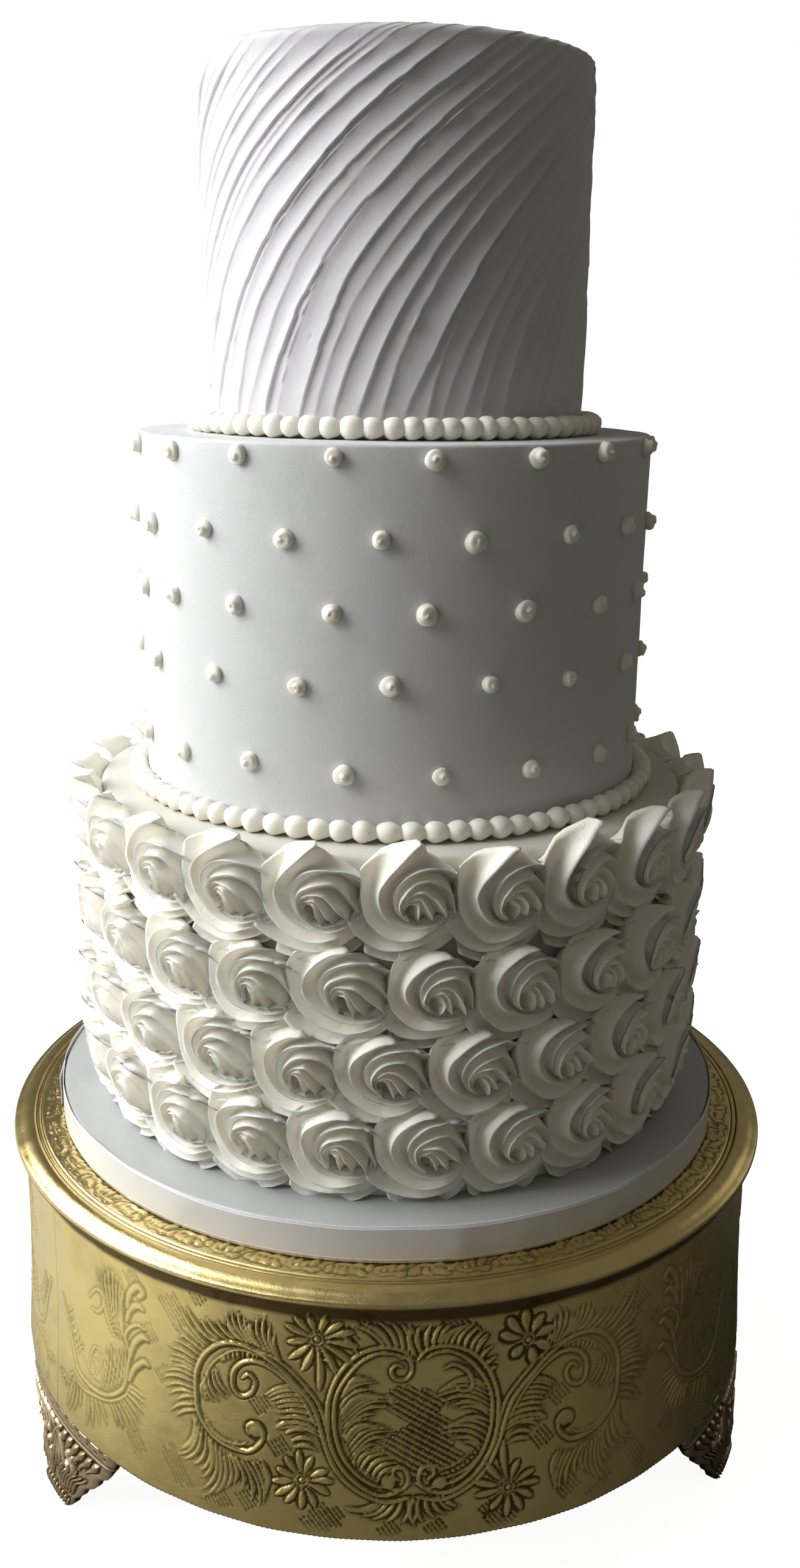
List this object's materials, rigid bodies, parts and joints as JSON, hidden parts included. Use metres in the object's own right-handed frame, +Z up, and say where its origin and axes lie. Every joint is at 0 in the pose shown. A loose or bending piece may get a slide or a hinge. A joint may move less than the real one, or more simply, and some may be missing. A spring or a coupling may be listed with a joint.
{
  "type": "three-tier buttercream wedding cake on a footed stand",
  "caption": "Round tiered buttercream cake with knife ridges, piped dots and swirled rosettes, on a ribboned board and an embossed gold stand on cast feet.",
  "frame": {"origin": "on the floor under the stand's axis, at the level of the feet's pads", "axes": "+Z up along the tiers' axis; the side shown in the picture faces -Y, and +X is to its right"},
  "size_m": [0.3494, 0.3494, 0.603],
  "materials": {
    "stand_gold": "embossed gold-coloured metal, softly polished, bright on the rolled rim",
    "foot_gold": "cast gold-coloured metal, slightly pinker than the skirt",
    "board_foil": "pale silver foil paper, matt",
    "ribbon_satin": "white satin ribbon with a soft sheen",
    "buttercream_ivory": null,
    "buttercream_white": null
  },
  "bodies": {
    "root": {"stand_foot_1": "foot_gold", "stand_foot_2": "foot_gold", "stand_foot_3": "foot_gold", "stand_skirt": "stand_gold", "stand_top": "stand_gold", "cake_board": "board_foil", "board_ribbon": "ribbon_satin", "bottom_tier": "buttercream_ivory", "rosette_row_1": "buttercream_ivory", "rosette_row_2": "buttercream_ivory", "rosette_row_3": "buttercream_ivory", "rosette_row_4": "buttercream_ivory", "middle_bead_border": "buttercream_white", "middle_tier": "buttercream_white", "top_bead_border": "buttercream_white", "top_tier": "buttercream_white"}
  },
  "joints": []
}
